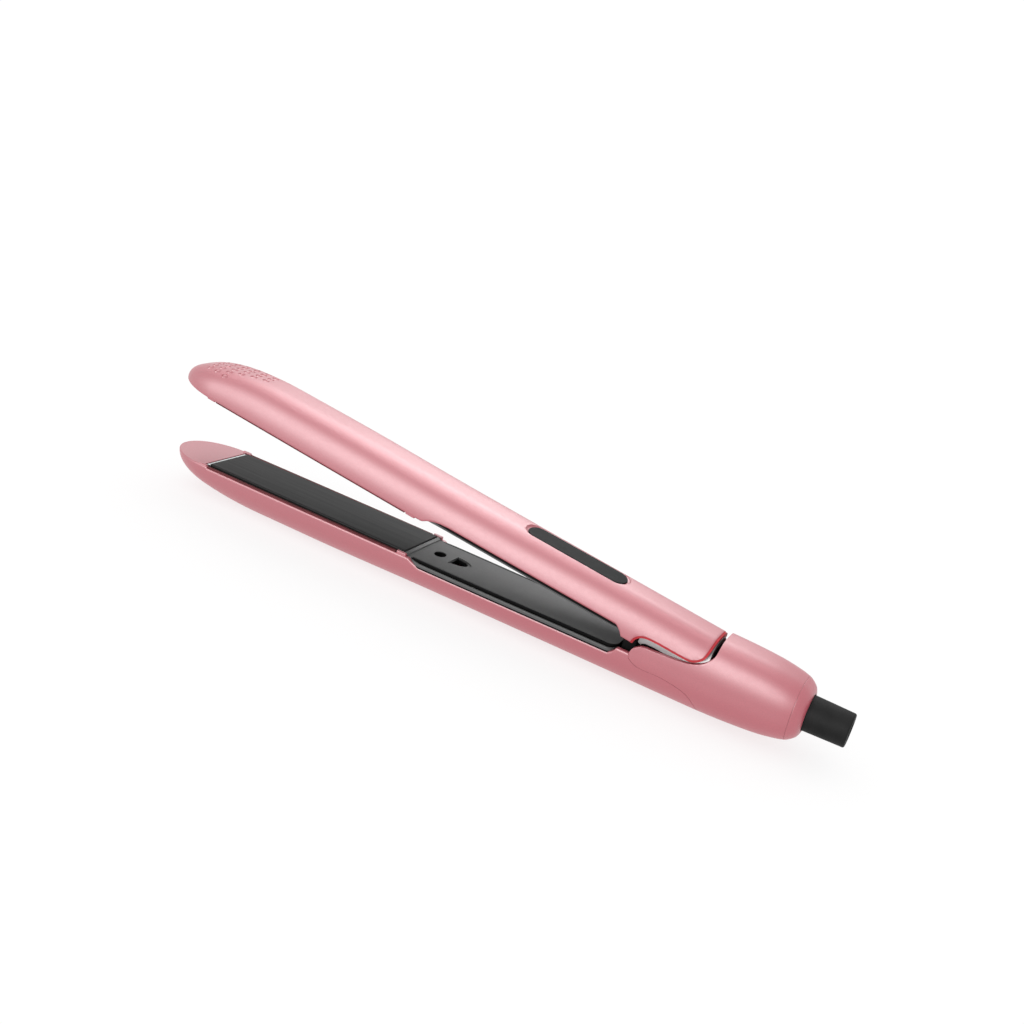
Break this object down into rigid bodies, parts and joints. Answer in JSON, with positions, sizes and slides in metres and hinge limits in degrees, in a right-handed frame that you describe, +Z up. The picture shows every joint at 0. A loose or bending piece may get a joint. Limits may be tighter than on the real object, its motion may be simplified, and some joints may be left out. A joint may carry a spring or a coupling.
{
  "type": "hair straightener",
  "caption": "Slim two-arm hair straightener with sprung hinge, floating heater plates, rounded shells and a turning cord sleeve.",
  "frame": {"origin": "centre of the bounding box, on the surface that the lower arm lies on", "axes": "+X from the nose tips to the cord sleeve, +Y across the arms, +Z up through both arms"},
  "size_m": [0.2901, 0.0268, 0.0554],
  "materials": {
    "rose_metallic": "satin metallic rose lacquer",
    "plate_ceramic": "dark satin ceramic coating",
    "cover_grey": "fine matte grain",
    "liner_silver": "silver-grey satin",
    "window_dark": "dark satin lens",
    "sleeve_black": "matte black",
    "carrier_aluminium": "satin",
    "steel": "bright",
    "brass": "turned",
    "heater_white": null,
    "insulator_amber": "amber sheet",
    "silicone": "soft red silicone",
    "board_green": "solder mask",
    "component_black": "moulded black",
    "wire_white": "silicone insulation",
    "wire_red": "silicone insulation"
  },
  "bodies": {
    "lower_arm": {"lower_shell": "rose_metallic", "lower_inner_cover": "cover_grey", "lower_cushion_front": "silicone", "lower_cushion_rear": "silicone", "lower_wire_live": "wire_red", "lower_wire_neutral": "wire_white", "power_board": "board_green", "power_capacitor": "component_black", "power_relay": "component_black", "thermal_fuse": "carrier_aluminium", "cover_screw_front": "steel", "cover_screw_rear": "steel", "hinge_housing": "rose_metallic", "hinge_pin": "steel", "hinge_bush_near": "brass", "hinge_bush_far": "brass", "torsion_spring": "steel", "wire_boot": "component_black", "end_cap": "rose_metallic", "contact_hub": "component_black", "contact_ring_inner": "brass", "contact_ring_outer": "brass"},
    "lower_plate": {"lower_heater_plate": "plate_ceramic", "lower_plate_carrier": "carrier_aluminium", "lower_ptc_heater": "heater_white", "lower_insulator_sheet": "insulator_amber"},
    "upper_arm": {"upper_shell": "rose_metallic", "upper_inner_cover": "cover_grey", "upper_cushion_front": "silicone", "upper_cushion_rear": "silicone", "upper_wire_live": "wire_red", "upper_wire_neutral": "wire_white", "control_window": "window_dark", "control_board": "board_green", "display_module": "component_black", "hinge_block": "liner_silver"},
    "upper_plate": {"upper_heater_plate": "plate_ceramic", "upper_plate_carrier": "carrier_aluminium", "upper_ptc_heater": "heater_white", "upper_insulator_sheet": "insulator_amber"},
    "cord_sleeve": {"swivel_sleeve": "sleeve_black"}
  },
  "joints": [
    {"name": "arm_hinge", "type": "hinge", "parent": "lower_arm", "child": "upper_arm", "pos_m": [0.092, 0, 0.0152], "axis": [0, 1, 0], "range_deg": [-7.3, 0], "stiffness_Nm_per_rad": 1, "springref_deg": 11.46},
    {"name": "lower_plate_float", "type": "slide", "parent": "lower_arm", "child": "lower_plate", "axis": [0, 0, -1], "range_m": [0, 0.0005], "stiffness_N_per_m": 2000, "springref_m": -0.0005},
    {"name": "upper_plate_float", "type": "slide", "parent": "upper_arm", "child": "upper_plate", "axis": [0.1271, 0, 0.9919], "range_m": [0, 0.0005], "stiffness_N_per_m": 2000, "springref_m": -0.0005},
    {"name": "cord_swivel", "type": "hinge", "parent": "lower_arm", "child": "cord_sleeve", "pos_m": [0.131, 0, 0.0152], "axis": [1, 0, 0], "continuous": true}
  ]
}
